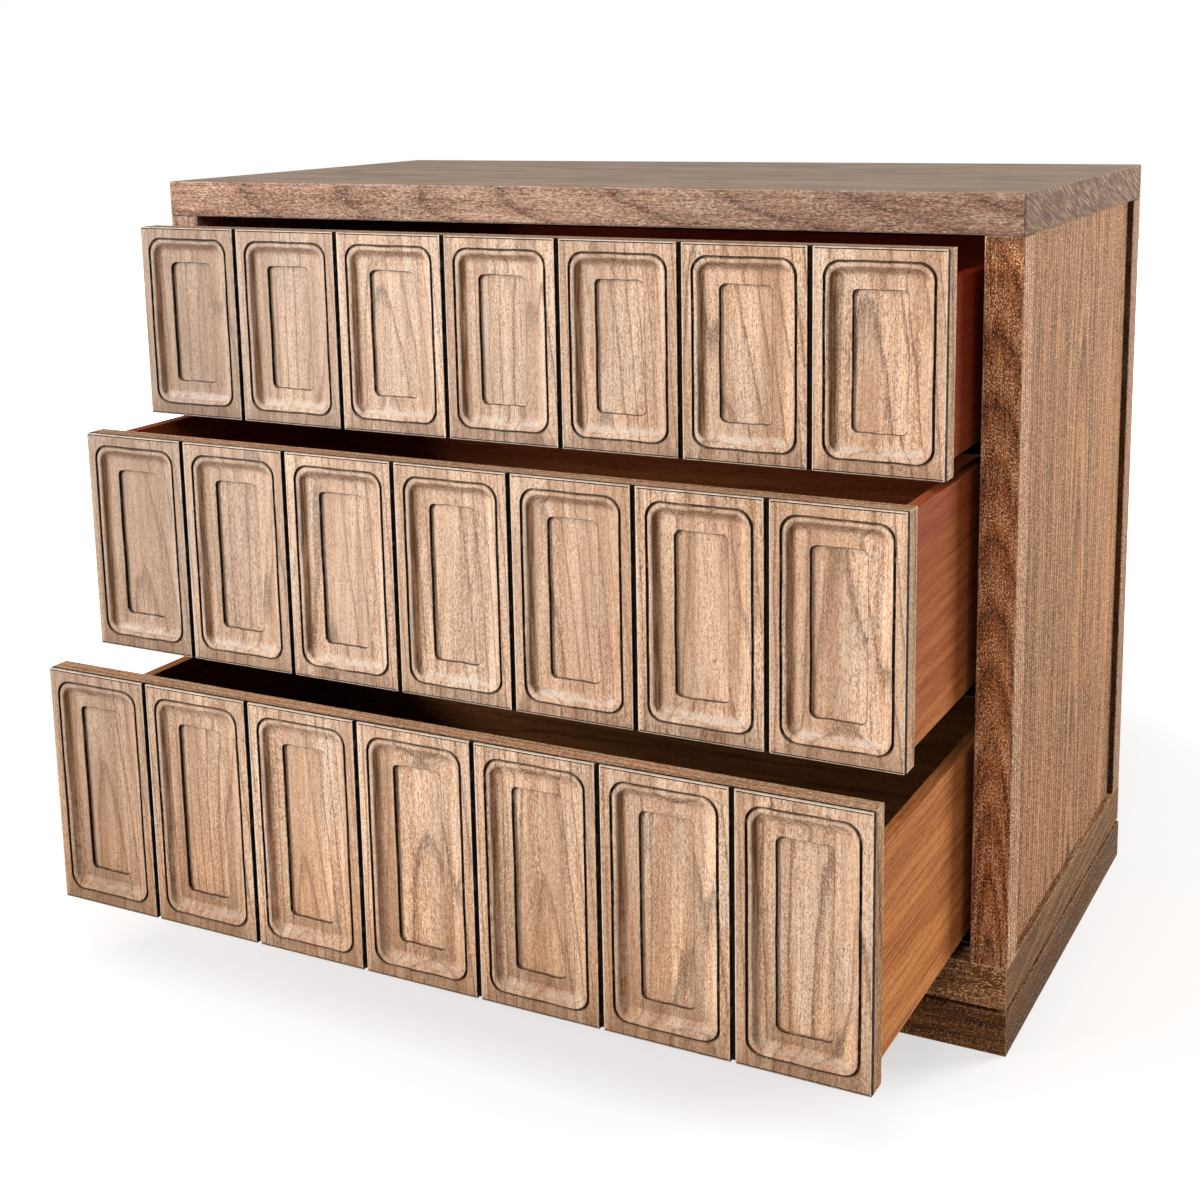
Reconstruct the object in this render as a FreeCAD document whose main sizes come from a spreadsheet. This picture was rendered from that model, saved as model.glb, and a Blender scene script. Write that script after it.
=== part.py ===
import FreeCAD, Part
import math
import operator
import os
from types import SimpleNamespace

import Sketcher

# A chest of three drawers whose fronts are rows of routed blocks. Millimetres, +Z up, front to -Y.
# Origin: on the floor, midway across the chest, and midway between the back of the plinth and the
# face of the lowest drawer as it stands open. The drawers stand open by the three "open" sizes.

DIMENSIONS = (
    # The carcass
    ("case_width", 1016.0, "outside of left posts to outside of right posts"),
    ("case_depth", 530.0, "front of the posts to the back of the posts"),
    ("case_height", 868.0, "floor to top"),
    ("top_thickness", 40.0, "top panel"),
    ("post_width", 38.0, "every post, across the chest"),
    ("front_post_depth", 38.0, "front posts, front to back"),
    ("rear_post_depth", 33.0, "rear posts, front to back"),
    ("panel_recess", 7.0, "side panel, in from the posts' outer faces"),
    ("panel_thickness", 12.0, "side panel"),
    ("panel_groove", 8.0, "depth of the grooves that hold the side panels"),
    ("panel_float", 1.0, "room at each upright edge of a side panel"),
    ("back_thickness", 6.0, "back panel"),
    ("back_overlap", 12.0, "back panel's rabbet in a rear post"),
    ("edge_ease", 1.0, "chamfer on the posts' arrises"),
    ("top_ease", 1.5, "chamfer on the top panel's arrises"),
    # The base
    ("plinth_height", 45.0, "plinth boards"),
    ("plinth_board", 22.0, "plinth boards, thickness"),
    ("plinth_proud", 1.2, "plinth, out from the rails above it"),
    ("shadow_gap", 4.5, "height of the rebate between plinth and rails"),
    ("shadow_depth", 6.0, "depth of that rebate"),
    ("rail_face", 44.5, "base rails, height of the face above the rebate"),
    ("rail_width", 38.0, "base rails, thickness"),
    # The drawer fronts
    ("top_front", 212.0, "height of the top drawer's front"),
    ("middle_front", 239.0, "height of the middle drawer's front"),
    ("front_gap", 4.2, "between the fronts, and over the top one"),
    ("lowest_gap", 7.3, "under the lowest front"),
    ("side_gap", 4.0, "front to post, each side"),
    ("front_board", 21.5, "thickness of a front's board"),
    ("board_ease", 0.8, "chamfer round the face of a front's board"),
    ("block_count", 7, "blocks on a drawer front"),
    ("block_gap", 4.8, "between two blocks"),
    ("block_flange", 4.5, "thickness of a block's rim, in front of the board"),
    ("block_plug", 11.5, "depth of a block's plug, let into the board"),
    ("plug_inset", 6.0, "plug, in from the edge of its block"),
    ("plug_room", 0.3, "plug to recess, all round"),
    # The routed face of a block, each inset counted from the block's edge
    ("dish_inset", 17.0, "outer edge of the dish"),
    ("dish_corner", 12.0, "corner radius at the outer edge of the dish"),
    ("cove_width", 9.5, "the dish's sloping wall, seen from the front"),
    ("dish_depth", 6.7, "depth of the ring round the field"),
    ("field_inset", 38.5, "edge of the sunk field"),
    ("field_corner", 5.0, "corner radius of the sunk field"),
    ("field_depth", 11.7, "depth of the sunk field, from the face"),
    # The drawer boxes
    ("side_thickness", 12.7, "sides and backs"),
    ("box_gap", 10.0, "drawer side to post"),
    ("back_gap", 41.0, "drawer side's end to the back panel, shut"),
    ("back_inset", 12.0, "drawer back, in from the ends of the sides"),
    ("joint_depth", 6.0, "grooves and housings in the drawers"),
    ("bottom_thickness", 6.0, "drawer bottoms"),
    ("bottom_recess", 13.0, "underside of a drawer bottom, up from the sides' edges"),
    ("top_box_under", 13.4, "top box, up from the foot of its front"),
    ("top_box_over", 30.0, "top box, down from the head of its front"),
    ("middle_box_under", 9.7, "middle box, up from the foot of its front"),
    ("middle_box_over", 6.8, "middle box, down from the head of its front"),
    ("bottom_box_under", 13.0, "bottom box, up from the foot of its front"),
    ("bottom_box_over", 48.9, "bottom box, down from the head of its front"),
    ("top_open", 101.0, "how far the top drawer stands open"),
    ("middle_open", 207.0, "how far the middle drawer stands open"),
    ("bottom_open", 288.0, "how far the bottom drawer stands open"),
    # The slides
    ("slide_drop", 14.0, "cabinet member, down from the drawer sides' edges"),
    ("slide_flange", 30.0, "cabinet member's upright flange"),
    ("slide_sheet", 1.5, "thickness of the slides' sheet steel"),
    ("slide_running", 0.5, "between two members"),
    ("slide_reach", 44.0, "cabinet member's inner lip, in from the post"),
    ("track_width", 17.0, "outside width of a member's channel"),
    ("track_lip", 8.0, "height of a member's channel"),
    ("rail_neck", 4.0, "neck of the middle member"),
    ("slide_front_room", 1.0, "back of a shut front to the slides"),
    ("slide_bearing", 15.0, "cabinet member, on to the rear post"),
    ("cleat_height", 34.0, "cleats that carry the slides"),
)

doc = FreeCAD.newDocument("block_front_chest")
nodes = []

OPERATIONS = {
    "+": operator.add,
    "-": operator.sub,
    "*": operator.mul,
    "/": operator.truediv,
}


class Size:
    """A length with the sheet formula that it comes from, so that sums of sizes stay formulas."""

    def __init__(self, text, value):
        self.text = text
        self.value = value

    def __add__(self, other):
        return combined(self, "+", other)

    def __radd__(self, other):
        return combined(other, "+", self)

    def __sub__(self, other):
        return combined(self, "-", other)

    def __rsub__(self, other):
        return combined(other, "-", self)

    def __mul__(self, other):
        return combined(self, "*", other)

    def __rmul__(self, other):
        return combined(other, "*", self)

    def __truediv__(self, other):
        return combined(self, "/", other)

    def __neg__(self):
        return combined(0, "-", self)


def as_size(number):
    return number if isinstance(number, Size) else Size(str(number), number)


def combined(left, sign, right):
    left, right = as_size(left), as_size(right)
    value = OPERATIONS[sign](left.value, right.value)
    return Size(f"({left.text} {sign} {right.text})", value)


def fill_sheet():
    """Writes the driving dimensions into the sheet and gives them back as sizes, by name."""
    sheet = doc.addObject("Spreadsheet::Sheet", "dims")
    for row, (alias, value, meaning) in enumerate(DIMENSIONS, start=1):
        sheet.set(f"A{row}", meaning)
        sheet.set(f"B{row}", str(value))
        sheet.setAlias(f"B{row}", alias)
    doc.recompute()
    return SimpleNamespace(
        **{alias: Size(f"dims.{alias}", float(sheet.get(alias))) for alias, _, _ in DIMENSIONS}
    )


dims = fill_sheet()

# Levels and widths that several pieces share
half_width = dims.case_width / 2
case_front = (dims.bottom_open - dims.case_depth - dims.plinth_proud) / 2
case_back = case_front + dims.case_depth
rail_height = dims.shadow_gap + dims.rail_face
base_top = dims.plinth_height + rail_height
top_underside = dims.case_height - dims.top_thickness
opening_height = top_underside - base_top
front_width = dims.case_width - 2 * (dims.post_width + dims.side_gap)
front_thickness = dims.front_board + dims.block_flange
block_thickness = dims.block_flange + dims.block_plug
block_width = (front_width - dims.block_gap * (dims.block_count - 1)) / dims.block_count
block_pitch = block_width + dims.block_gap
box_half = half_width - dims.post_width - dims.box_gap
box_depth = dims.case_depth - front_thickness - dims.back_gap - dims.back_thickness
bottom_front = (
    opening_height - dims.lowest_gap - 3 * dims.front_gap - dims.top_front - dims.middle_front
)
bottom_level = base_top + dims.lowest_gap
middle_level = bottom_level + bottom_front + dims.front_gap
top_level = middle_level + dims.middle_front + dims.front_gap


def drawer(name, level, height, under, over, opened):
    """The sizes of one drawer: its front's level and height, its box's, and how far it is open."""
    return SimpleNamespace(
        name=name,
        front_level=level,
        front_height=height,
        box_level=level + under,
        box_height=height - under - over,
        under=under,
        opened=opened,
        face=case_front - opened,
    )


DRAWERS = (
    drawer(
        "top",
        top_level,
        dims.top_front,
        dims.top_box_under,
        dims.top_box_over,
        dims.top_open,
    ),
    drawer(
        "middle",
        middle_level,
        dims.middle_front,
        dims.middle_box_under,
        dims.middle_box_over,
        dims.middle_open,
    ),
    drawer(
        "bottom",
        bottom_level,
        bottom_front,
        dims.bottom_box_under,
        dims.bottom_box_over,
        dims.bottom_open,
    ),
)

UPRIGHT = FreeCAD.Rotation(FreeCAD.Vector(1, 0, 0), 90)


# Building blocks


def place(part, corner, rotation=FreeCAD.Rotation()):
    part.Placement = FreeCAD.Placement(FreeCAD.Vector(), rotation)
    for axis, size in zip("xyz", corner):
        part.setExpression(f"Placement.Base.{axis}", as_size(size).text)


def new_body(name, corner, rotation=FreeCAD.Rotation()):
    body = doc.addObject("PartDesign::Body", name)
    body.Label = name
    place(body, corner, rotation)
    return body


def origin_plane(body, role):
    return next(part for part in body.Origin.OriginFeatures if part.Role == role)


def new_sketch(body, role, offset=None):
    """A sketch on one of the body's own origin planes, or parallel to it at an offset."""
    sketch = body.newObject("Sketcher::SketchObject", f"{body.Label}_sketch")
    sketch.AttachmentSupport = [(origin_plane(body, role), "")]
    sketch.MapMode = "FlatFace"
    if offset is not None:
        sketch.setExpression("AttachmentOffset.Base.z", offset.text)
    return sketch


def bound(sketch, size, *rule):
    """Adds a dimension to the sketch and ties it to the sheet."""
    index = sketch.addConstraint(Sketcher.Constraint(*rule, size.value))
    sketch.setExpression(f"Constraints[{index}]", size.text)


def hold(sketch, edge, end, place_now):
    """Fixes an edge's end by its distances from the sketch's axes. A plain 0 puts it on the axis."""
    for axis, kind, size in ((-2, "DistanceX", place_now[0]), (-1, "DistanceY", place_now[1])):
        if isinstance(size, Size):
            bound(sketch, size, kind, -1, 1, edge, end)
        else:
            sketch.addConstraint(Sketcher.Constraint("PointOnObject", edge, end, axis))


def vector(place_now):
    return FreeCAD.Vector(as_size(place_now[0]).value, as_size(place_now[1]).value, 0)


def outline(sketch, corners):
    """A closed outline of straight edges through the corners."""
    first = sketch.GeometryCount
    count = len(corners)
    for i, corner in enumerate(corners):
        line = Part.LineSegment(vector(corner), vector(corners[(i + 1) % count]))
        sketch.addGeometry(line)
    for i, corner in enumerate(corners):
        follower = first + (i + 1) % count
        sketch.addConstraint(Sketcher.Constraint("Coincident", first + i, 2, follower, 1))
        hold(sketch, first + i, 1, corner)


def rectangle(sketch, low, high):
    outline(sketch, (low, (high[0], low[1]), high, (low[0], high[1])))


def rounded_rectangle(sketch, low, high, radius):
    """A rectangle whose corners are tangent arcs."""
    centres = (
        (high[0] - radius, low[1] + radius),
        (high[0] - radius, high[1] - radius),
        (low[0] + radius, high[1] - radius),
        (low[0] + radius, low[1] + radius),
    )
    arcs = []
    for quarter, centre in enumerate(centres):
        circle = Part.Circle(vector(centre), FreeCAD.Vector(0, 0, 1), radius.value)
        start = (quarter - 1) * math.pi / 2
        arcs.append(sketch.addGeometry(Part.ArcOfCircle(circle, start, start + math.pi / 2)))
    for quarter, direction in enumerate(("Vertical", "Horizontal", "Vertical", "Horizontal")):
        arc, following = arcs[quarter], arcs[(quarter + 1) % 4]
        ends = sketch.getPoint(arc, 2), sketch.getPoint(following, 1)
        line = sketch.addGeometry(Part.LineSegment(*ends))
        sketch.addConstraint(Sketcher.Constraint("Tangent", arc, 2, line, 1))
        sketch.addConstraint(Sketcher.Constraint("Tangent", line, 2, following, 1))
        sketch.addConstraint(Sketcher.Constraint(direction, line))
    for follower in arcs[1:]:
        sketch.addConstraint(Sketcher.Constraint("Equal", arcs[0], follower))
    bound(sketch, radius, "Radius", arcs[0])
    hold(sketch, arcs[0], 3, centres[0])
    hold(sketch, arcs[2], 3, centres[2])


def extrude(body, kind, sketch, length, reverse=False):
    """A Pad or a Pocket of the sketch, as deep as length."""
    feature = body.newObject(f"PartDesign::{kind}", f"{body.Label}_{kind.lower()}")
    feature.Profile = sketch
    feature.Reversed = reverse
    feature.setExpression("Length", length.text)
    sketch.Visibility = False
    return feature


def chamfer(body, size, wanted):
    """Chamfers the edges of the body's solid whose two end points both pass the test."""
    doc.recompute()
    base = body.Tip
    names = [
        f"Edge{i}"
        for i, edge in enumerate(base.Shape.Edges, start=1)
        if all(wanted(vertex.Point) for vertex in edge.Vertexes)
    ]
    feature = body.newObject("PartDesign::Chamfer", f"{body.Label}_chamfer")
    feature.Base = (base, names)
    feature.setExpression("Size", size.text)
    return feature


def near(value, size):
    return abs(value - as_size(size).value) < 0.001


def plate(name, corner, width, depth, thickness):
    """A rectangular board lying flat, with its lowest corner at the corner given."""
    body = new_body(name, corner)
    sketch = new_sketch(body, "XY_Plane")
    rectangle(sketch, (0, 0), (width, depth))
    extrude(body, "Pad", sketch, thickness)
    return body


def moulding(name, corner, section, length):
    """A board whose section, in X and Z, runs along +Y."""
    body = new_body(name, corner)
    sketch = new_sketch(body, "XZ_Plane")
    outline(sketch, section)
    extrude(body, "Pad", sketch, length, reverse=True)
    return body


def mirrored(name, source):
    """The right-hand twin of a left-hand piece."""
    twin = doc.addObject("Part::Mirroring", name)
    twin.Label = name
    twin.Source = source
    twin.Normal = FreeCAD.Vector(1, 0, 0)
    return twin


def group(name, parts):
    """One node of several like pieces."""
    compound = doc.addObject("Part::Compound", name)
    compound.Label = name
    compound.Links = parts
    return compound


# The carcass

panel_inner = dims.panel_recess + dims.panel_thickness


def top_panel():
    corner = (-half_width, case_front, top_underside)
    body = plate("top_panel", corner, dims.case_width, dims.case_depth, dims.top_thickness)
    chamfer(body, dims.top_ease, lambda point: True)
    return body


def post(name, y, section, outer_front):
    """A left-hand post: its plan section, carried up from the base rails to the top panel."""
    body = new_body(name, (-half_width, y, base_top))
    sketch = new_sketch(body, "XY_Plane")
    outline(sketch, section)
    extrude(body, "Pad", sketch, opening_height)
    chamfer(
        body,
        dims.edge_ease,
        lambda point: near(point.z, opening_height) and outer_front(point),
    )
    return body


def front_post():
    """Grooved in its rear face for the side panel, with its front and outer arrises eased."""
    ease, depth = dims.edge_ease, dims.front_post_depth
    section = (
        (ease, 0),
        (dims.post_width - ease, 0),
        (dims.post_width, ease),
        (dims.post_width, depth),
        (panel_inner, depth),
        (panel_inner, depth - dims.panel_groove),
        (dims.panel_recess, depth - dims.panel_groove),
        (dims.panel_recess, depth),
        (ease, depth),
        (0, depth - ease),
        (0, ease),
    )
    return post(
        "front_left_post",
        case_front,
        section,
        lambda point: near(point.x, 0) or near(point.y, 0),
    )


def rear_post():
    """Grooved in its front face for the side panel, and rabbeted behind for the back panel."""
    ease, depth = dims.edge_ease, dims.rear_post_depth
    rabbet = dims.post_width - dims.back_overlap
    section = (
        (ease, 0),
        (dims.panel_recess, 0),
        (dims.panel_recess, dims.panel_groove),
        (panel_inner, dims.panel_groove),
        (panel_inner, 0),
        (dims.post_width, 0),
        (dims.post_width, depth - dims.back_thickness),
        (rabbet, depth - dims.back_thickness),
        (rabbet, depth),
        (ease, depth),
        (0, depth - ease),
        (0, ease),
    )
    return post("rear_left_post", case_back - depth, section, lambda point: near(point.x, 0))


def side_panel():
    """Runs in the posts' grooves and stands in the base rail's groove, up to the top panel."""
    in_groove = dims.panel_groove - dims.panel_float
    length = dims.case_depth - dims.front_post_depth - dims.rear_post_depth + 2 * in_groove
    corner = (
        dims.panel_recess - half_width,
        case_front + dims.front_post_depth - in_groove,
        base_top - dims.panel_groove,
    )
    height = opening_height + dims.panel_groove
    return plate("left_side_panel", corner, dims.panel_thickness, length, height)


def back_panel():
    width = dims.case_width - 2 * (dims.post_width - dims.back_overlap)
    corner = (-width / 2, case_back - dims.back_thickness, base_top)
    return plate("back_panel", corner, width, dims.back_thickness, opening_height)


def mitred_board(name, corner, turn, length, width, height):
    """A board with both ends mitred. Its outer face is its local y = 0, and turn faces it outwards."""
    body = new_body(name, corner, FreeCAD.Rotation(FreeCAD.Vector(0, 0, 1), turn))
    sketch = new_sketch(body, "XY_Plane")
    outline(sketch, ((0, 0), (length, 0), (length - width, width), (width, width)))
    extrude(body, "Pad", sketch, height)
    return body


def mitred_frame(suffix, level, proud, width, height):
    """Front, rear and left boards of a mitred frame, and a mirrored right one, by side."""
    reach_x = half_width + proud
    front, back = case_front - proud, case_back + proud
    across, along = dims.case_width + 2 * proud, dims.case_depth + 2 * proud
    boards = {
        "front": ((-reach_x, front, level), 0, across),
        "rear": ((reach_x, back, level), 180, across),
        "left": ((-reach_x, back, level), -90, along),
    }
    return {
        side: mitred_board(f"{side}_{suffix}", corner, turn, length, width, height)
        for side, (corner, turn, length) in boards.items()
    }


def base_rails():
    """The mitred frame under the posts. A rebate along its foot makes the shadow line."""
    rails = mitred_frame("base_rail", dims.plinth_height, as_size(0), dims.rail_width, rail_height)
    for rail in rails.values():
        length = dims.case_depth if rail is rails["left"] else dims.case_width
        rebate = new_sketch(rail, "YZ_Plane")
        rectangle(rebate, (0, 0), (dims.shadow_depth, dims.shadow_gap))
        extrude(rail, "Pocket", rebate, length, reverse=True)
    groove = new_sketch(rails["left"], "XY_Plane", rail_height)
    start = dims.rear_post_depth - dims.panel_groove
    end = dims.case_depth - dims.front_post_depth + dims.panel_groove
    rectangle(groove, (start, dims.panel_recess), (end, panel_inner))
    extrude(rails["left"], "Pocket", groove, dims.panel_groove)
    return rails


def plinth_boards():
    return mitred_frame(
        "plinth_board",
        as_size(0),
        dims.plinth_proud,
        dims.plinth_board,
        dims.plinth_height,
    )


def carcass():
    nodes.append(top_panel())
    lefts = [front_post(), rear_post(), side_panel()]
    for frame in (base_rails(), plinth_boards()):
        nodes.extend((frame["front"], frame["rear"]))
        lefts.append(frame["left"])
    for left in lefts:
        nodes.extend((left, mirrored(left.Label.replace("left", "right"), left)))
    nodes.append(back_panel())


# The drawers


def front_board(this):
    """Recessed in its face for the blocks' plugs, and housed in its back for the box."""
    thickness, height = dims.front_board, this.front_height
    corner = (-front_width / 2, this.face + front_thickness, this.front_level)
    body = new_body(f"{this.name}_drawer_front_board", corner, UPRIGHT)
    sketch = new_sketch(body, "XY_Plane")
    rectangle(sketch, (0, 0), (front_width, height))
    extrude(body, "Pad", sketch, thickness)

    side_out = front_width / 2 - box_half
    side_in = side_out + dims.side_thickness
    box_foot, box_head = this.under, this.under + this.box_height
    housings = new_sketch(body, "XY_Plane")
    rectangle(housings, (side_out, box_foot), (side_in, box_head))
    rectangle(housings, (front_width - side_in, box_foot), (front_width - side_out, box_head))
    extrude(body, "Pocket", housings, dims.joint_depth, reverse=True)

    groove = new_sketch(body, "XY_Plane")
    groove_foot = this.under + dims.bottom_recess
    groove_end = side_in - dims.joint_depth
    rectangle(
        groove,
        (groove_end, groove_foot),
        (front_width - groove_end, groove_foot + dims.bottom_thickness),
    )
    extrude(body, "Pocket", groove, dims.joint_depth, reverse=True)

    recess = new_sketch(body, "XY_Plane", thickness)
    edge = dims.plug_inset - dims.plug_room
    rectangle(recess, (edge, edge), (block_width - edge, height - edge))
    pocket = extrude(body, "Pocket", recess, dims.block_plug + dims.plug_room)
    pattern = body.newObject("PartDesign::LinearPattern", f"{body.Label}_recesses")
    pattern.Originals = [pocket]
    pattern.Direction = (recess, ["H_Axis"])
    pattern.setExpression("Length", (block_pitch * (dims.block_count - 1)).text)
    pattern.setExpression("Occurrences", dims.block_count.text)
    body.Tip = pattern

    def on_rim(point):
        across = near(point.x, 0) or near(point.x, front_width)
        upright = near(point.y, 0) or near(point.y, height)
        return near(point.z, thickness) and (across or upright)

    chamfer(body, dims.board_ease, on_rim)
    return body


def block(this, number):
    """A routed block: a rim on a plug, a dish with a sloping wall, and a field sunk in its floor."""
    width, height = block_width, this.front_height
    corner = (
        block_pitch * (number - 1) - front_width / 2,
        this.face + block_thickness,
        this.front_level,
    )
    body = new_body(f"{this.name}_drawer_block_{number}", corner, UPRIGHT)

    def layer(kind, level, inset, depth, radius=None):
        """A Pad or Pocket whose outline keeps an even distance from the block's edge."""
        sketch = new_sketch(body, "XY_Plane", level)
        low, high = (inset, inset), (width - inset, height - inset)
        if radius is None:
            rectangle(sketch, low, high)
        else:
            rounded_rectangle(sketch, low, high, radius)
        return extrude(body, kind, sketch, depth)

    layer("Pad", None, dims.plug_inset, dims.block_plug)
    layer("Pad", dims.block_plug, 0, dims.block_flange)
    dish = layer("Pocket", block_thickness, dims.dish_inset, dims.dish_depth, dims.dish_corner)
    dish.setExpression("TaperAngle", f"-atan({(dims.cove_width / dims.dish_depth).text})")
    layer("Pocket", block_thickness, dims.field_inset, dims.field_depth, dims.field_corner)
    return body


def box_side(this):
    """Grooved for the bottom and housed for the back. Its front end is let into the front board."""
    thickness, cut = dims.side_thickness, dims.side_thickness - dims.joint_depth
    groove_foot = dims.bottom_recess
    groove_head = groove_foot + dims.bottom_thickness
    section = (
        (0, 0),
        (thickness, 0),
        (thickness, groove_foot),
        (cut, groove_foot),
        (cut, groove_head),
        (thickness, groove_head),
        (thickness, this.box_height),
        (0, this.box_height),
    )
    length = box_depth + dims.joint_depth
    corner = (-box_half, this.face + front_thickness - dims.joint_depth, this.box_level)
    side = moulding(f"{this.name}_drawer_left_side", corner, section, length)
    housing = new_sketch(side, "XY_Plane", this.box_height)
    back_end = length - dims.back_inset
    rectangle(housing, (cut, back_end - thickness), (thickness, back_end))
    extrude(side, "Pocket", housing, this.box_height - groove_head)
    return side


def drawer_box(this):
    """Left side, right side, back and bottom of a drawer."""
    left = box_side(this)
    right = mirrored(f"{this.name}_drawer_right_side", left)
    inner_half = box_half - dims.side_thickness + dims.joint_depth
    box_front = this.face + front_thickness
    back = plate(
        f"{this.name}_drawer_back",
        (
            -inner_half,
            box_front + box_depth - dims.back_inset - dims.side_thickness,
            this.box_level + dims.bottom_recess + dims.bottom_thickness,
        ),
        2 * inner_half,
        dims.side_thickness,
        this.box_height - dims.bottom_recess - dims.bottom_thickness,
    )
    bottom = plate(
        f"{this.name}_drawer_bottom",
        (-inner_half, box_front - dims.joint_depth, this.box_level + dims.bottom_recess),
        2 * inner_half,
        box_depth + dims.joint_depth,
        dims.bottom_thickness,
    )
    return [left, right, back, bottom]


# The slides, under the drawer bottoms. Their sections are drawn from the post's inner face inwards.


def cabinet_member(this):
    """An upright flange on the post and cleat, a web under the drawer side, and a channel."""
    sheet, lip = dims.slide_sheet, dims.slide_sheet + dims.track_lip
    reach, near_lip = dims.slide_reach, dims.slide_reach - dims.track_width
    section = (
        (0, 0),
        (reach, 0),
        (reach, lip),
        (reach - sheet, lip),
        (reach - sheet, sheet),
        (near_lip + sheet, sheet),
        (near_lip + sheet, lip),
        (near_lip, lip),
        (near_lip, sheet),
        (sheet, sheet),
        (sheet, dims.slide_flange),
        (0, dims.slide_flange),
    )
    start = front_thickness + dims.slide_front_room
    length = dims.case_depth - dims.rear_post_depth + dims.slide_bearing - start
    corner = (
        dims.post_width - half_width,
        case_front + start,
        this.box_level - dims.slide_drop,
    )
    return moulding(f"{this.name}_left_cabinet_member", corner, section, length)


def middle_member(this):
    """A rail with two heads on a neck: one runs in the cabinet member, one in the drawer member."""
    room = dims.slide_running
    width = dims.track_width - 2 * (dims.slide_sheet + room)
    foot = dims.slide_sheet + room
    height = dims.slide_drop + dims.bottom_recess - 2 * foot
    head = dims.track_lip - 2 * room
    neck_near = (width - dims.rail_neck) / 2
    neck_far = (width + dims.rail_neck) / 2
    section = (
        (0, 0),
        (width, 0),
        (width, head),
        (neck_far, head),
        (neck_far, height - head),
        (width, height - head),
        (width, height),
        (0, height),
        (0, height - head),
        (neck_near, height - head),
        (neck_near, head),
        (0, head),
    )
    near_face = dims.slide_reach - dims.track_width + foot
    corner = (
        dims.post_width - half_width + near_face,
        case_front + front_thickness + 2 * dims.slide_front_room - this.opened / 2,
        this.box_level - dims.slide_drop + foot,
    )
    length = box_depth - dims.slide_front_room
    return moulding(f"{this.name}_left_middle_member", corner, section, length)


def drawer_member(this):
    """A channel with its open side down, fixed under the drawer bottom."""
    sheet, width = dims.slide_sheet, dims.track_width
    height = dims.slide_sheet + dims.track_lip
    section = (
        (0, 0),
        (sheet, 0),
        (sheet, height - sheet),
        (width - sheet, height - sheet),
        (width - sheet, 0),
        (width, 0),
        (width, height),
        (0, height),
    )
    corner = (
        dims.post_width - half_width + dims.slide_reach - width,
        this.face + front_thickness + dims.slide_front_room,
        this.box_level + dims.bottom_recess - height,
    )
    length = box_depth - 2 * dims.slide_front_room
    return moulding(f"{this.name}_left_drawer_member", corner, section, length)


def cleat(this):
    """A board between a front and a rear post, flush with their inner faces, behind the slide."""
    corner = (
        panel_inner - half_width,
        case_front + dims.front_post_depth,
        this.box_level - dims.slide_drop - (dims.cleat_height - dims.slide_flange) / 2,
    )
    length = dims.case_depth - dims.front_post_depth - dims.rear_post_depth
    width = dims.post_width - panel_inner
    return plate(f"{this.name}_left_cleat", corner, width, length, dims.cleat_height)


def pair(left):
    return [left, mirrored(left.Label.replace("left", "right"), left)]


def slides():
    fixed, cleats = [], []
    for this in DRAWERS:
        fixed.extend(pair(cabinet_member(this)))
        cleats.extend(pair(cleat(this)))
        nodes.append(group(f"{this.name}_slide_middle_members", pair(middle_member(this))))
        nodes.append(group(f"{this.name}_slide_drawer_members", pair(drawer_member(this))))
    nodes.append(group("slide_cabinet_members", fixed))
    nodes.append(group("slide_cleats", cleats))


def drawers():
    for this in DRAWERS:
        nodes.append(front_board(this))
        for number in range(1, int(dims.block_count.value) + 1):
            nodes.append(block(this, number))
        nodes.extend(drawer_box(this))


# Checks and files

CUTS = ("PartDesign::Pocket", "PartDesign::Chamfer")


def check():
    """Stops if a feature failed, a cut took nothing away or a piece isn't sound."""
    for part in doc.Objects:
        if "Invalid" in part.State or "Error" in part.State:
            raise RuntimeError(f"{part.Label} failed: {part.State}")
        if part.TypeId in CUTS and part.Shape.Volume > part.BaseFeature.Shape.Volume - 0.1:
            raise RuntimeError(f"{part.Label} cuts nothing")
    for node in nodes:
        if node.Shape.isNull() or not node.Shape.isValid():
            raise RuntimeError(f"{node.Label} has no sound shape")


def write():
    os.makedirs("parts", exist_ok=True)
    for node in nodes:
        node.Shape.exportStep(os.path.join("parts", f"{node.Label}.step"))
    print(f"{len(nodes)} nodes, {sum(len(node.Shape.Solids) for node in nodes)} solids")


carcass()
drawers()
slides()
doc.recompute()
check()
write()
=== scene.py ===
"""Block front chest: routed blocks, limed wood, slides, light and camera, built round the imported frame."""
import math

import bpy
import numpy as np
from mathutils import Matrix, Vector


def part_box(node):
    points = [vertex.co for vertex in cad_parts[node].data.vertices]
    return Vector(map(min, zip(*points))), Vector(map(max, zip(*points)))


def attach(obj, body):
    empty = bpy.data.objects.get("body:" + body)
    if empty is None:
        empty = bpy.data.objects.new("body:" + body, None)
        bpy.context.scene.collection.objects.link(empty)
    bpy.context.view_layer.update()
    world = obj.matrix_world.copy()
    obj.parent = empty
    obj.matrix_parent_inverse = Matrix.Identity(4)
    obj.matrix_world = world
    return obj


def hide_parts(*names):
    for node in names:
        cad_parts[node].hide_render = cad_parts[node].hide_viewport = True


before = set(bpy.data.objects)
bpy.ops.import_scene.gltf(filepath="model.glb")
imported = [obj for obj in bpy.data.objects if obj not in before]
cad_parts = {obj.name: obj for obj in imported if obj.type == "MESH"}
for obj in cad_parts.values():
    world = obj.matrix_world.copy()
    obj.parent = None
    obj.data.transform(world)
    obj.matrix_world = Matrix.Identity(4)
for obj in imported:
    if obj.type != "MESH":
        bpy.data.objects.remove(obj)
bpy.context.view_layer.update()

MM = 0.001
DRAWERS = ("top", "middle", "bottom")
BLOCKS_PER_DRAWER = 7
SEED = 11


# Camera and light ---------------------------------------------------------------------------------

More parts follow.
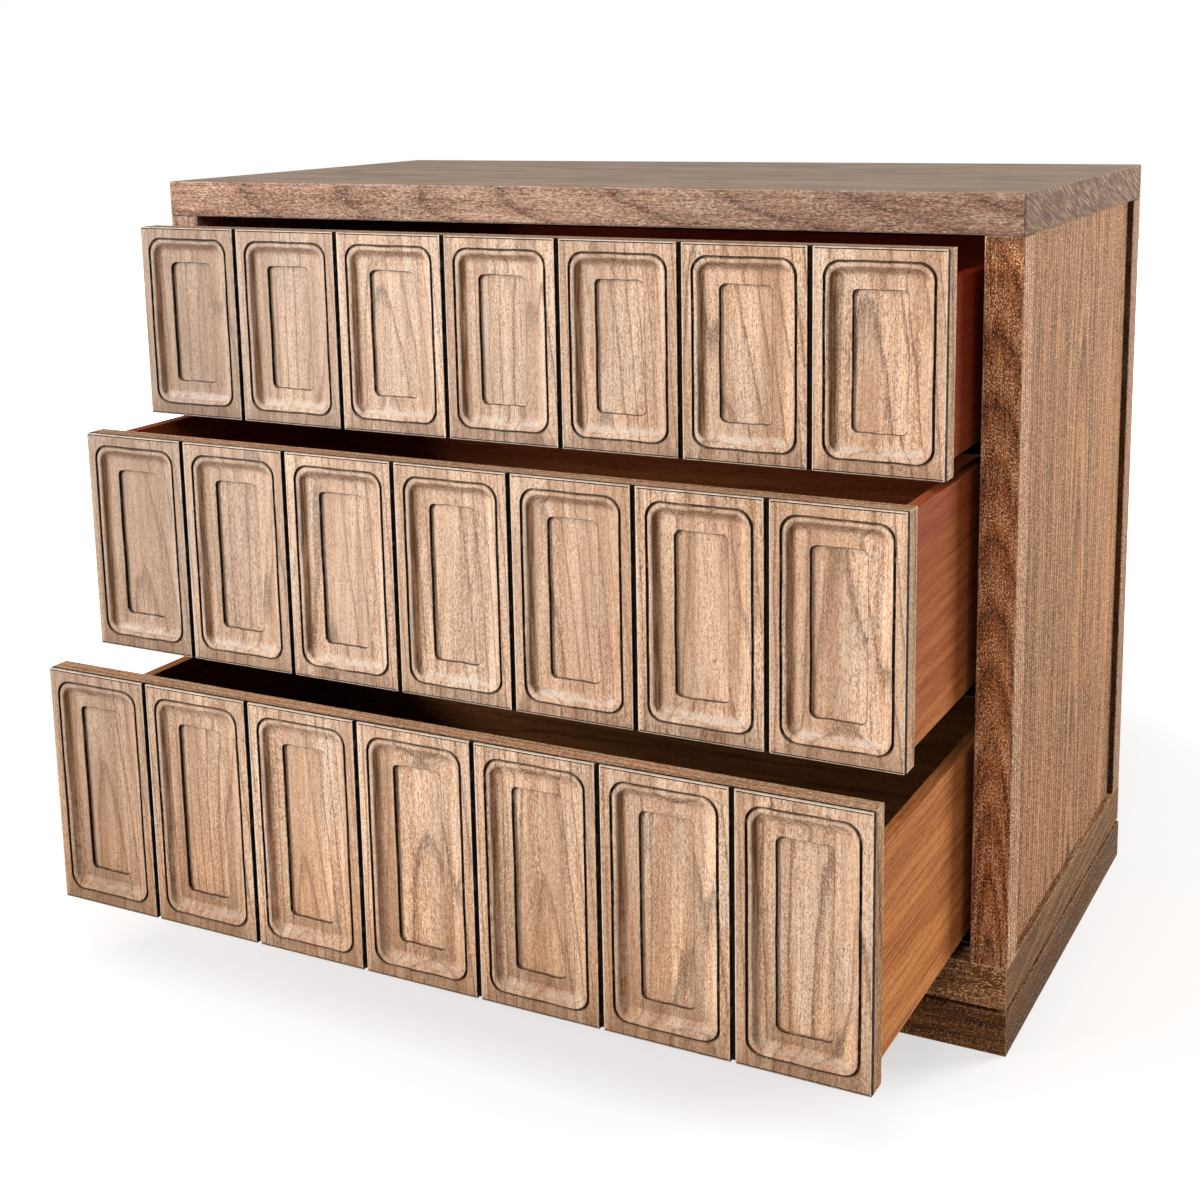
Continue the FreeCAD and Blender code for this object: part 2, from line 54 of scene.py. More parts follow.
IMAGE_SIZE = 1200
SENSOR_WIDTH = 36.0
CAMERA_PLACE = (0.93209, -1.77638, 0.97818)
CAMERA_YAW = math.radians(-27.320)
CAMERA_PITCH = math.radians(-10.700)
CAMERA_ROLL = math.radians(-0.993)
FOCAL_PIXELS = 1797.2
PRINCIPAL_POINT = (615, 418)


def place_camera():
    """Looks along yaw and pitch from a named place, with its lens and shift worked out from pixels."""
    data = bpy.data.cameras.new("camera")
    data.sensor_width = SENSOR_WIDTH
    data.lens = FOCAL_PIXELS / IMAGE_SIZE * SENSOR_WIDTH
    data.shift_x = (IMAGE_SIZE / 2 - PRINCIPAL_POINT[0]) / IMAGE_SIZE
    data.shift_y = (PRINCIPAL_POINT[1] - IMAGE_SIZE / 2) / IMAGE_SIZE
    data.clip_end = 50
    camera = bpy.data.objects.new("camera", data)
    turn = Matrix.Rotation(-CAMERA_YAW, 4, "Z")
    tilt = Matrix.Rotation(math.pi / 2 + CAMERA_PITCH, 4, "X")
    lean = Matrix.Rotation(CAMERA_ROLL, 4, "Z")
    camera.matrix_world = Matrix.Translation(CAMERA_PLACE) @ turn @ tilt @ lean
    bpy.context.scene.collection.objects.link(camera)
    bpy.context.scene.camera = camera


# Name, place, what it faces, size in metres and power in watts.
SOFT_LIGHTS = (("key_light", (-3.9, -4.4, 1.75), (0, -0.1, 0.45), 1.9, 405),
               ("top_light", (0.2, -2.2, 3.1), (0, -0.1, 0.6), 2.0, 45),
               ("fill_light", (2.9, 2.5, 1.4), (0.4, 0, 0.45), 1.6, 122))
EVEN_LIGHT = 0.17


def soft_light(name, place, target, size, power):
    """A square soft box that faces its target."""
    data = bpy.data.lights.new(name, "AREA")
    data.shape = "SQUARE"
    data.size = size
    data.energy = power
    light = bpy.data.objects.new(name, data)
    facing = (Vector(target) - Vector(place)).to_track_quat("-Z", "Y")
    light.matrix_world = Matrix.Translation(place) @ facing.to_matrix().to_4x4()
    bpy.context.scene.collection.objects.link(light)


# Shader maths -------------------------------------------------------------------------------------

class Socket:
    """One output of a material's node. Arithmetic on it adds Math nodes, and node() adds any other."""

    def __init__(self, tree, output=None):
        self.tree = tree
        self.output = output

    def node(self, kind, settings, *values, out=None, **named):
        """Adds a node: its settings, then values or links for its sockets, in order or by name."""
        made = self.tree.nodes.new("ShaderNode" + kind)
        for name, value in settings.items():
            setattr(made, name, value)
        sockets = [socket for socket in made.inputs if socket.enabled]
        wanted = list(zip(sockets, values))
        for name, value in named.items():
            title = name.replace("_", " ")
            wanted.append((next(socket for socket in sockets if socket.name == title), value))
        for socket, value in wanted:
            if isinstance(value, Socket):
                self.tree.links.new(value.output, socket)
            else:
                socket.default_value = value
        outputs = [socket for socket in made.outputs if socket.enabled and out in (None, socket.name)]
        return Socket(self.tree, outputs[0]) if outputs else None

    def maths(self, operation, *values):
        return self.node("Math", {"operation": operation}, *values)

    def __add__(self, other):
        return self.maths("ADD", self, other)

    __radd__ = __add__

    def __sub__(self, other):
        return self.maths("SUBTRACT", self, other)

    def __rsub__(self, other):
        return self.maths("SUBTRACT", other, self)

    def __mul__(self, other):
        return self.maths("MULTIPLY", self, other)

    __rmul__ = __mul__

    def __truediv__(self, other):
        return self.maths("DIVIDE", self, other)

    def __abs__(self):
        return self.maths("ABSOLUTE", self)

    def least(self, other):
        return self.maths("MINIMUM", self, other)

    def most(self, other):
        return self.maths("MAXIMUM", self, other)

    def remainder(self):
        return self.maths("FRACT", self)

    def rise(self, low, high):
        """0 below low, 1 above high, with a smooth step between them."""
        return self.node("MapRange", {"interpolation_type": "SMOOTHSTEP"}, self, low, high, 0.0, 1.0)

    def vector(self, operation, *values, out=None):
        return self.node("VectorMath", {"operation": operation}, self, *values, out=out)

    def mix(self, factor, other):
        """This colour, turned into the other one by the factor."""
        return self.node("Mix", {"data_type": "RGBA"}, factor, self, other)

    def tint(self, factor, shares):
        """This colour, with its red, green and blue multiplied by their shares where the factor is 1."""
        return self.mix(factor, self.vector("MULTIPLY", shares))

    def axis(self, name):
        return self.node("SeparateXYZ", {}, self, out=name)

    def noise(self, scale, detail=2.0, roughness=0.5, out=None):
        """Noise whose grains are 1/scale metres along each axis."""
        stretched = self.vector("MULTIPLY", scale)
        settings = {"noise_dimensions": "3D"}
        named = {"Scale": 1.0, "Detail": detail, "Roughness": roughness}
        return self.node("TexNoise", settings, stretched, out=out, **named)


def colour(code):
    """A colour written as six hexadecimal digits of sRGB, made linear."""
    shares = [int(code[i:i + 2], 16) / 255 for i in (0, 2, 4)]
    return tuple(s / 12.92 if s <= 0.04045 else ((s + 0.055) / 1.055) ** 2.4 for s in shares) + (1.0,)


def new_material(name):
    """A material with an empty node tree, and a socket to start its shader from."""
    material = bpy.data.materials.new(name)
    material.use_nodes = True
    material.node_tree.nodes.clear()
    return material, Socket(material.node_tree)


def finish_surface(start, shader):
    start.node("OutputMaterial", {}, shader)


# Limed wood ---------------------------------------------------------------------------------------

GRAIN_TURN = {"X": (0, -math.pi / 2, 0), "Y": (math.pi / 2, 0, 0), "Z": (0, 0, 0)}

# A finish has the colours of pale, deep and cool wood, of the dark pores and of lime. lime_share, speck
# and crisp say how much shows of the lime, of the fine specks and of the dark threads and dashes, and
# lime_level how strong the noise has to be for lime to stay. band keeps lime to the early wood, and line
# darkens the late wood. ring, pith and lean are the growth rings' width and the pith's place in metres,
# and how far the pith leans. coarse widens the grain and short shortens it. ahead and side multiply the
# colour of the faces that look to -Y and to +X: painted light and shade, which makes those faces of the
# frame, rail, plinth and front boards lighter or darker the way the light falls on them.
FINISHES = {
    "block": {
        "pale": "F0C4A0", "deep": "C0906C", "dark": "5A3A25", "lime": "FFEFDA", "cool": "CDB7A2",
        "lime_share": 0.42, "lime_level": 0.59, "speck": 0.4, "crisp": 0.6, "band": 0.07, "line": 0.7,
        "ring": 0.009, "pith": (0.0, 0.0), "lean": (0.05, 0.04), "coarse": 0.95, "short": 1.3},
    "front": {
        "pale": "C99169", "deep": "9C6B46", "dark": "4A2E1C", "lime": "F3DCBC", "cool": "A88D70",
        "lime_share": 0.7, "lime_level": 0.59, "speck": 0.4, "band": 0.06, "line": 0.7,
        "ring": 0.007, "pith": (0.05, 0.12), "lean": (0.02, 0.03), "coarse": 1.0, "short": 1.3,
        "side": (1.34, 1.44, 1.5)},
    "top": {
        "pale": "B28870", "deep": "8A624E", "dark": "40291F", "lime": "F2DAC0", "cool": "A08876",
        "lime_share": 0.36, "lime_level": 0.585, "speck": 0.35, "crisp": 0.8, "band": 0.09, "line": 0.6,
        "ring": 0.006, "pith": (0.02, 0.07), "lean": (0.02, 0.05), "coarse": 1.0, "short": 1.0},
    "frame": {
        "pale": "AC6B40", "deep": "82492A", "dark": "3A1E0E", "lime": "FFDFBC", "cool": "957454",
        "lime_share": 0.8, "lime_level": 0.565, "speck": 0.45, "band": 0.09, "line": 0.8,
        "ring": 0.007, "pith": (0.004, 0.06), "lean": (0.01, 0.1), "coarse": 1.2, "short": 2.0,
        "ahead": (1.5, 1.22, 0.94)},
    "rail": {
        "pale": "98603A", "deep": "704425", "dark": "341D0E", "lime": "EBC796", "cool": "86684C",
        "lime_share": 0.9, "lime_level": 0.58, "speck": 0.5, "band": 0.1, "line": 0.5,
        "ring": 0.012, "pith": (0.004, 0.03), "lean": (0.02, 0.1), "coarse": 1.1, "short": 1.6,
        "ahead": (1.65, 1.45, 1.3), "side": (0.7, 0.64, 0.54)},
    "panel": {
        "pale": "D89262", "deep": "733D1F", "dark": "32170A", "lime": "F4C895", "cool": "AC825C",
        "lime_share": 0.8, "lime_level": 0.58, "speck": 0.6, "band": 0.1, "line": 1.0,
        "ring": 0.009, "pith": (0.045, -0.02), "lean": (0.05, 0.0), "coarse": 2.0, "short": 1.8},
    "plinth": {
        "pale": "845838", "deep": "50301A", "dark": "28160A", "lime": "DCB286", "cool": "7A5C44",
        "lime_share": 0.8, "lime_level": 0.59, "speck": 0.4, "band": 0.06, "line": 0.6,
        "ring": 0.008, "pith": (0.03, 0.08), "lean": (0.03, 0.02), "coarse": 1.3, "short": 1.4,
        "ahead": (0.85, 0.68, 0.5), "side": (0.68, 0.63, 0.49)},
    "inner": {
        "pale": "9C7250", "deep": "7C573B", "dark": "452D1D", "lime": "B08C68", "cool": "8A6A4C",
        "lime_share": 0.2, "lime_level": 0.64, "speck": 0.2, "band": 0.05, "line": 0.5,
        "ring": 0.009, "pith": (0.03, 0.09), "lean": (0.02, 0.02), "coarse": 1.0, "short": 1.0},
    "drawer": {
        "pale": "E1904C", "deep": "B3672F", "dark": "4E2008", "lime": "E8AC78", "cool": "CC824C",
        "lime_share": 0.35, "lime_level": 0.6, "speck": 0.12, "crisp": 0.4, "band": 0.05, "line": 0.4,
        "ring": 0.012, "pith": (0.04, 0.14), "lean": (0.04, 0.01), "coarse": 1.6, "short": 1.0},
}

FLECK_SCALE = (1000, 1000, 230)
SPECK_SCALE = (700, 700, 330)
DASH_SCALE = (800, 800, 100)
THREAD_SCALE = (640, 640, 13)
FIBRE_SCALE = (240, 240, 6)
STREAK_SCALE = (80, 80, 2.0)
CLOUD_SCALE = (17, 17, 6)
WANDER_SCALE = (4, 4, 2.2)
WANDER = 0.03
RINGS_WANDERED = 2.2
DASH_SHIFT = (0.3, 0.1, 0.7)
GRAIN_DEPTH = 0.3 * MM
WOOD_SHEEN = 0.1


def limed_grain(place, log, finish):
    """The colour, roughness and height of limed wood at a place whose Z runs with the grain.

    The distance from a leaning pith over the ring width, with slow noise added, counts the growth rings,
    and its fraction is the phase: early wood up to a half, late wood near one. Noise drawn out along the
    grain makes streaks, fibres and threads. Peaks of finer noise, most of them in the early wood, are
    limed flecks, and peaks of another are dark dashes. The finest noise puts dark specks on its peaks
    and light ones in its hollows. Slow clouds turn the wood cooler.
    """
    slow = place.noise(WANDER_SCALE, 3, out="Color").vector("SUBTRACT", (0.5, 0.5, 0.5))
    bent = slow.vector("MULTIPLY", (WANDER,) * 3).vector("ADD", place)
    along = log.axis("Z")
    lean = log.node("CombineXYZ", {}, along * finish["lean"][0], along * finish["lean"][1], 0.0)
    across = log.vector("MULTIPLY", (1, 1, 0)).vector("ADD", lean).vector("ADD", finish["pith"] + (0,))
    rings = across.vector("LENGTH", out="Value") / finish["ring"] + slow.axis("X") * RINGS_WANDERED
    fibre = bent.noise(spread(FIBRE_SCALE, finish), 5, 0.7)
    thread = bent.noise(spread(THREAD_SCALE, finish), 2, 0.6)
    streak = bent.noise(STREAK_SCALE, 3)
    cloud = place.noise(CLOUD_SCALE, 2)
    spots = place.noise(spread(SPECK_SCALE, finish), 1)
    phase = (rings + fibre * 0.3).remainder()
    early = phase.rise(0.0, 0.25) * (1 - phase.rise(0.35, 0.75))
    late = phase.rise(0.76, 0.95) * (1 - phase.rise(0.95, 1.0))
    fleck = place.noise(spread(FLECK_SCALE, finish), 1) + early * finish["band"] - finish["band"] * 0.4
    fleck = fleck.rise(finish["lime_level"], finish["lime_level"] + 0.07)
    dash = place.vector("ADD", DASH_SHIFT).noise(spread(DASH_SCALE, finish), 1).rise(0.60, 0.66)

    dark, lime = colour(finish["dark"]), colour(finish["lime"])
    crisp = finish.get("crisp", 1.0)
    tone = place.node("RGB", {})
    tone.output.default_value = colour(finish["pale"])
    tone = tone.mix(cloud.rise(0.42, 0.62) * 0.5, colour(finish["cool"]))
    tone = tone.mix((streak * 0.6 + fibre * 0.4).rise(0.38, 0.62), colour(finish["deep"]))
    tone = tone.mix(late * finish["line"], dark)
    tone = tone.mix((1 - thread).rise(0.5, 0.70) * 0.65 * crisp, dark)
    tone = tone.mix(thread.rise(0.54, 0.72) * 0.5 * finish["lime_share"], lime)
    tone = tone.mix(dash * 0.75 * crisp, dark)
    tone = tone.mix(spots.rise(0.5, 0.66) * finish["speck"], dark)
    tone = tone.mix((1 - spots).rise(0.5, 0.66) * 0.5 * finish["speck"], lime)
    tone = tone.mix(fleck * finish["lime_share"], lime)
    rough = 0.6 + fleck * 0.2 + (1 - fibre) * 0.15
    height = fibre * 0.3 + thread * 0.3 - dash * 0.5 - fleck * 0.3 - late * 0.3
    return tone, rough, height


def spread(scale, finish):
    """The scale for grain as coarse across, and as short along, as the finish says."""
    return (scale[0] / finish["coarse"], scale[1] / finish["coarse"], scale[2] * finish["short"])


def wood_shader(start, tone, rough, height):
    """A matt surface with the grain's height as a bump."""
    bump = start.node("Bump", {}, Strength=1.0, Distance=GRAIN_DEPTH, Height=height)
    named = {"Base_Color": tone, "Roughness": rough, "Normal": bump, "Specular_IOR_Level": WOOD_SHEEN}
    finish_surface(start, start.node("BsdfPrincipled", {}, **named))


def edge_wear(place, box, width):
    """1 along the piece's own edges. Of the distances to its box's three pairs of faces, the middle one
    is the distance along the surface to the nearest edge."""
    centre = (box[0] + box[1]) / 2
    half = (box[1] - box[0]) / 2
    gaps = place.vector("SUBTRACT", tuple(centre)).vector("ABSOLUTE")
    gaps = gaps.node("VectorMath", {"operation": "SUBTRACT"}, tuple(half), gaps)
    x, y, z = (gaps.axis(name) for name in "XYZ")
    middle = x.least(y).most(x.most(y).least(z))
    return 1 - middle.rise(width * 0.4, width)


LIPPING = 3.0 * MM
JOINT_SHADE = 1.6 * MM
EDGE_WEAR, EDGE_WEAR_SCALE = 1.4 * MM, (200, 200, 200)
UNDER_TOP_SHADE = 26 * MM
SQUARE_ON = (0.7, 0.95)
RIGHT_POST_PAINTED_LIGHT = (1.40, 1.38, 1.30)
LOW_BOARD_PAINTED_SHADE = (0.8, 0.68, 0.58)
TOP_WAVES_SCALE, TOP_STREAK_SCALE = (9, 34, 34), (5, 150, 150)
PORE_SCALE, PORE_SLANT = (120, 26, 420), 0.35
# Heights above the floor, in metres, between which painted shade comes or goes.
LOW_BOARD_END = (0.3, 0.38)
BOX_PAINTED_SHADE_RISE = (0.15, 0.85)
BOX_SHADE_END = (0.38, 0.5)
CORNER_PAINTED_SHADE = "1C0F08"
POST_PAINTED_SHADE = "3A2416"
TOP_PAINTED_SHEEN, TOP_STREAK = "C4B29E", "857262"
END_GRAIN, END_LIME, END_PORE = "684E34", "D8BE98", "34200F"
WARM_PAINTED_SHADE, MITRE_SHADE = "6E4434", "2A1A12"
BOX_PAINTED_SHADE_RED, BOX_SHADE = "7A1204", "1C0802"
GAP_BLACK = "0A0604"


def shade_post(tone, node, place, faces, high):
    """Painted shade in the narrow steps beside the panels, and under the top on the front right post.
    Painted light on that post's side.
    """
    if node.startswith("rear"):
        # painted shade in the step where the rear post's front face meets the panel
        return tone.mix(faces["ahead"] * 0.85, colour(CORNER_PAINTED_SHADE))
    if node == "front_right_post":
        # painted light: the front right post's side face made paler
        tone = tone.tint(faces["beside"], RIGHT_POST_PAINTED_LIGHT)
        # painted shade: the front right post's front made darker just under the top
        under_top = place.axis("Z").rise(high.z - UNDER_TOP_SHADE, high.z)
        tone = tone.mix(faces["ahead"] * under_top * 0.75, colour(POST_PAINTED_SHADE))
    return tone


def shade_top(tone, place, faces, low, high):
    """Painted sheen and long streaks on the top's face, open end grain beside, and its lipping's joint.
    Painted shade grows towards the right end on the faces that don't look up.
    """
    above, beside = faces["above"], faces["beside"]
    streaks = place.noise(TOP_WAVES_SCALE, 3, 0.65).rise(0.42, 0.62) * 0.45
    streaks = streaks + place.noise(TOP_STREAK_SCALE, 4, 0.65).rise(0.42, 0.6) * 0.4
    slanted = place.node("Mapping", {}, place, Rotation=(PORE_SLANT, 0, 0))
    pores = slanted.noise(PORE_SCALE, 3, 0.7)
    # painted sheen: the top's face greyer and paler, as a grazing reflection makes it; then long streaks
    tone = tone.mix(above * 0.5, colour(TOP_PAINTED_SHEEN)).mix(above * streaks, colour(TOP_STREAK))
    tone = tone.mix(beside * 0.6, colour(END_GRAIN))
    tone = tone.mix(beside * pores.rise(0.53, 0.6) * 0.65, colour(END_LIME))
    tone = tone.mix(beside * (1 - pores).rise(0.52, 0.6) * 0.7, colour(END_PORE))
    # painted shade: warmer and darker towards the right on the faces that don't look up
    tone = tone.mix(place.axis("X").rise(-0.1, 0.5) * (1 - above) * 0.2, colour(WARM_PAINTED_SHADE))
    corner = place.axis("X").rise(high.x - 1.1 * MM, high.x - 0.7 * MM)
    joint = corner * (1 - place.axis("Y").rise(low.y + 0.2 * MM, low.y + 0.6 * MM))
    return tone.mix(joint * 0.7, colour(MITRE_SHADE))


def shade_drawer_box(tone, node, place, facing):
    """Painted shade: redder, darker wood higher up, and dark faces that look into the box of the lower
    drawers.
    """
    # painted shade: the box sides grow redder and darker higher up, where they sit in shade
    tone = tone.mix(place.axis("Z").rise(*BOX_PAINTED_SHADE_RISE) * 0.95, colour(BOX_PAINTED_SHADE_RED))
    drawer = node.split("_")[0]
    low, high = frame_box(f"{drawer}_drawer_left_side", f"{drawer}_drawer_right_side")
    # painted shade on the faces that look into the box, on the lower drawers only
    outwards = place.vector("SUBTRACT", tuple((low + high) / 2)).vector("DOT_PRODUCT", facing, out="Value")
    inwards = (0 - outwards).rise(0.0, 0.01)
    return tone.mix(inwards * (1 - place.axis("Z").rise(*BOX_SHADE_END)) * 0.7, colour(BOX_SHADE))


def shade_front_board(tone, place, faces, low):
    """Painted shade on the lowest board's side, darker and browner, and black in the gaps between the
    blocks.
    """
    # painted shade: the lowest board's end face keeps less of the finish's painted light
    tone = tone.tint(faces["beside"] * (1 - place.axis("Z").rise(*LOW_BOARD_END)), LOW_BOARD_PAINTED_SHADE)
    gap = 1 - place.axis("Y").rise(low.y + 0.9 * MM, low.y + 1.4 * MM)
    return tone.mix(gap * 0.96, colour(GAP_BLACK))


def board_material(node, finish_name, grain, shift):
    """One board's own material, cut from its own place in the wood, with its own stain and wear."""
    finish = FINISHES[finish_name]
    low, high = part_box(node)
    material, start = new_material(f"{node}_{finish_name}_wood")
    place = start.node("TexCoord", {}, out="Object")
    facing = start.node("NewGeometry", {}, out="Normal")
    centred = place.vector("SUBTRACT", tuple((low + high) / 2))
    log = start.node("Mapping", {}, centred, Rotation=GRAIN_TURN[grain])
    if finish_name == "front":
        lipping = (high.x - low.x) / 2 - LIPPING
        edge = abs(centred.axis("X")).rise(lipping - 0.2 * MM, lipping)
        log = start.node("Mix", {"data_type": "VECTOR"}, edge, log, centred)
    wood = log.vector("ADD", shift)
    tone, rough, height = limed_grain(wood, log, finish)
    worn = edge_wear(place, (low, high), EDGE_WEAR) * wood.noise(EDGE_WEAR_SCALE, 2).rise(0.35, 0.6)
    tone = tone.mix(worn * 0.6, colour(finish["lime"]))
    faces = {"ahead": 0 - facing.axis("Y"), "above": facing.axis("Z"), "beside": facing.axis("X")}
    faces = {name: part.rise(*SQUARE_ON) for name, part in faces.items()}
    # ahead and side tints: painted light and shade on the faces that look to -Y and to +X.
    for name, face in (("ahead", "ahead"), ("side", "beside")):
        if name in finish:
            tone = tone.tint(faces[face], finish[name])
    if node.endswith("_post"):
        tone = shade_post(tone, node, place, faces, high)
    if node == "top_panel":
        tone = shade_top(tone, place, faces, low, high)
    if node.endswith(("_post", "_side_panel")):
        # painted shade in the joint under the top, along the top of the posts and side panels
        tone = tone.mix(place.axis("Z").rise(high.z - JOINT_SHADE, high.z) * 0.85, colour(CORNER_PAINTED_SHADE))
    if finish_name == "drawer":
        tone = shade_drawer_box(tone, node, place, facing)
    if finish_name == "front":
        tone = shade_front_board(tone, place, faces, low)
    wood_shader(start, tone, rough, height)
    return material


SPANGLE_SCALE, BRUSHED_SCALE, BRUSH_DEPTH = (260, 260, 260), (900, 12, 900), 0.1 * MM
STEEL, STEEL_DARK = "4A4C4E", "303234"


def steel_material():
    """Black zinc plated steel: a faint spangle and brushed marks along the slide."""
    material, start = new_material("black_plated_steel")
    place = start.node("TexCoord", {}, out="Object")
    spangle = place.noise(SPANGLE_SCALE, 2)
    brushed = place.noise(BRUSHED_SCALE, 2)
    tone = start.node("RGB", {})
    tone.output.default_value = colour(STEEL)
    tone = tone.mix(spangle.rise(0.35, 0.65) * 0.5, colour(STEEL_DARK))
    bump = start.node("Bump", {}, Strength=0.4, Distance=BRUSH_DEPTH, Height=brushed)
    named = {"Base_Color": tone, "Roughness": 0.3 + brushed * 0.25, "Normal": bump, "Metallic": 1.0}
    finish_surface(start, start.node("BsdfPrincipled", {}, **named))
    return material


def paint(node, material):
    """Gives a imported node's object one material in place of its own."""
    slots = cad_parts[node].material_slots
    if not slots:
        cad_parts[node].data.materials.append(material)
        return
    for slot in slots:
        slot.link = "OBJECT"
        slot.material = material


# Routed blocks ------------------------------------------------------------------------------------

RIM = 4.5 * MM
PLUG_INSET = 6.0 * MM
ARRIS = 0.8 * MM
ARRIS_WAX = (1, 0.9, 0.8, 0.2, 0)
BLOCK_THICKNESS = 16.0 * MM
LIP_LINE = 1.1 * MM
LIP_LINE_WIDTH = 1.2 * MM
LIP_LINE_DEPTH = 0.5 * MM
LINE_INSET = 10.15 * MM
LINE_WIDTH = 2.6 * MM
LINE_DEPTH = 1.3 * MM
LIP_END = LIP_LINE + LIP_LINE_WIDTH
LINE_END = LINE_INSET + LINE_WIDTH
LIP_START_DEPTH = 0.25 * MM
LIP_POWER = 2.2
WALL_SLOPE = 0.3 * MM
WAX_WIDTH = 0.35 * MM
JOINT_WAX = 2.2 * MM
COVE_INSET = 17.5 * MM
COVE_FOOT = 27.5 * MM
DISH_DEPTH = 5.2 * MM
FIELD_INSET = 37.4 * MM
FIELD_DEPTH = 8.8 * MM
COVE_STEEP = math.radians(37)
COVE_FLAT = math.radians(3)
COVE_STEPS = 12
ARC_STEPS = 12
SIDE_STEPS = 26
WOBBLE = 0.22 * MM
END_MARGIN = 1.75 * MM


def block_profile():
    """Rows of inset, depth, wax and side, from the plug's back over the rim and across to the field.

    The arris is a quarter circle. The lip falls as a power of the way across it. The cove is an arc: its
    slope goes from steep at the lip to nearly flat at its foot. Wax is how much black a row holds: black
    wax, partly painted shade. Side is 1 on walls that face inwards and -1 on walls that face outwards.
    """
    rows = [(PLUG_INSET, BLOCK_THICKNESS, 0, 0), (PLUG_INSET, RIM, 1, 0), (0, RIM, 1, 0)]
    rows += [(0, RIM - JOINT_WAX, 1, 0), (0, RIM - JOINT_WAX - 0.2 * MM, 1, 0), (0, ARRIS + 0.3 * MM, 1, 0)]
    rows += [(ARRIS * (1 - math.sin(turn)), ARRIS * (1 - math.cos(turn)), wax, 0)
             for turn, wax in zip(np.linspace(math.pi / 2, 0, len(ARRIS_WAX)), ARRIS_WAX)]

    rows += [(LIP_LINE, 0, 0, 0), (LIP_LINE + 0.2 * MM, LIP_LINE_DEPTH, 1, 0)]
    rows += [(LIP_END - 0.2 * MM, LIP_LINE_DEPTH, 1, 0), (LIP_END, 0, 0, 0)]
    rows += [(inset, 0, 0, 0) for inset in np.linspace(LIP_END, LINE_INSET - WAX_WIDTH, 4)[1:]]

    wall = LINE_INSET + WALL_SLOPE
    rows += [(LINE_INSET, 0, 1, 1), (wall, LINE_DEPTH, 1, 1), (wall + WAX_WIDTH, LINE_DEPTH, 1, 0.5)]
    wall = LINE_END - WALL_SLOPE
    rows += [(wall - WAX_WIDTH, LINE_DEPTH, 1, -0.5), (wall, LINE_DEPTH, 1, -1)]
    rows += [(LINE_END, LIP_START_DEPTH, 1, -1), (LINE_END + WAX_WIDTH, LIP_START_DEPTH, 0, -1)]

    slope = np.linspace(COVE_STEEP, COVE_FLAT, COVE_STEPS)
    radius = (COVE_FOOT - COVE_INSET) / (math.sin(COVE_STEEP) - math.sin(COVE_FLAT))
    cove_inset = COVE_FOOT - radius * (np.sin(slope) - math.sin(COVE_FLAT))
    cove_depth = DISH_DEPTH - radius * (math.cos(COVE_FLAT) - np.cos(slope))
    lip_fall = cove_depth[0] - LIP_START_DEPTH
    rows += [(LINE_END + (COVE_INSET - LINE_END) * way, LIP_START_DEPTH + lip_fall * way ** LIP_POWER, 0, 0)
             for way in np.linspace(0, 1, 7)[1:-1]]
    rows += [(inset, depth, 0, 0) for inset, depth in zip(cove_inset, cove_depth)]

    rows += [(inset, DISH_DEPTH, 0, 0) for inset in np.linspace(COVE_FOOT, FIELD_INSET - MM, 4)[1:]]
    rows += [(FIELD_INSET - 2 * WAX_WIDTH, DISH_DEPTH, 0, 0), (FIELD_INSET - WAX_WIDTH, DISH_DEPTH, 0.7, 0)]
    rows += [(FIELD_INSET, DISH_DEPTH + WALL_SLOPE, 1, 0)]
    rows += [(FIELD_INSET + 0.1 * MM, FIELD_DEPTH - WALL_SLOPE, 0.95, 0)]
    wall = FIELD_INSET + WALL_SLOPE
    rows += [(wall, FIELD_DEPTH, 0.85, 0), (wall + WAX_WIDTH, FIELD_DEPTH, 0, 0)]
    rows += [(FIELD_INSET + 2 * MM, FIELD_DEPTH, 0, 0)]
    return np.array(rows)


def corner_radius(inset):
    """The corner radius of the loop at each inset: straight lines between the sizes listed here."""
    insets = np.array([0, 2.5, 10.1, 12.7, 17.5, 27.5, 37.4, 39.4]) * MM
    radii = np.array([0.6, 1.0, 17, 15, 12.5, 4.5, 6.5, 5.2]) * MM
    return np.interp(inset, insets, radii)


def lengthwise_inset(inset):
    """The inset from a block's ends, which grows to END_MARGIN more than the inset from its sides."""
    return inset + np.interp(inset, (2.5 * MM, LINE_INSET), (0, END_MARGIN))


def rounded_loop(half_width, half_height, radius):
    """Points round a rounded rectangle, one row for each size: along each side, then round its corner."""
    along = np.linspace(-1, 1, SIDE_STEPS + 1)[None, :-1]
    turn = np.linspace(0, math.pi / 2, ARC_STEPS + 1)[None, :-1]
    w, h, r = (value[:, None] for value in (half_width, half_height, radius))
    rows_x, rows_z = [], []
    for quarter in range(4):
        across, reach = (w, h) if quarter % 2 == 0 else (h, w)
        u = np.concatenate([along * (across - r), (across - r) + r * np.sin(turn)], axis=1)
        v = np.concatenate([-reach + 0 * along, -(reach - r) - r * np.cos(turn)], axis=1)
        cosine, sine = ((1, 0), (0, 1), (-1, 0), (0, -1))[quarter]
        rows_x.append(u * cosine - v * sine)
        rows_z.append(u * sine + v * cosine)
    return np.concatenate(rows_x, axis=1), np.concatenate(rows_z, axis=1)


def ring_faces(rows, columns):
    """Quads between neighbouring loops, and one face over each end."""
    row = np.arange(rows - 1)[:, None] * columns
    here = np.arange(columns)[None, :]
    after = (here + 1) % columns
    quads = np.stack([row + here, row + after, row + columns + after, row + columns + here], axis=-1)
    faces = quads.reshape(-1, 4).tolist()
    faces.append(np.arange(columns)[::-1].tolist())
    faces.append((np.arange(columns) + (rows - 1) * columns).tolist())
    return faces


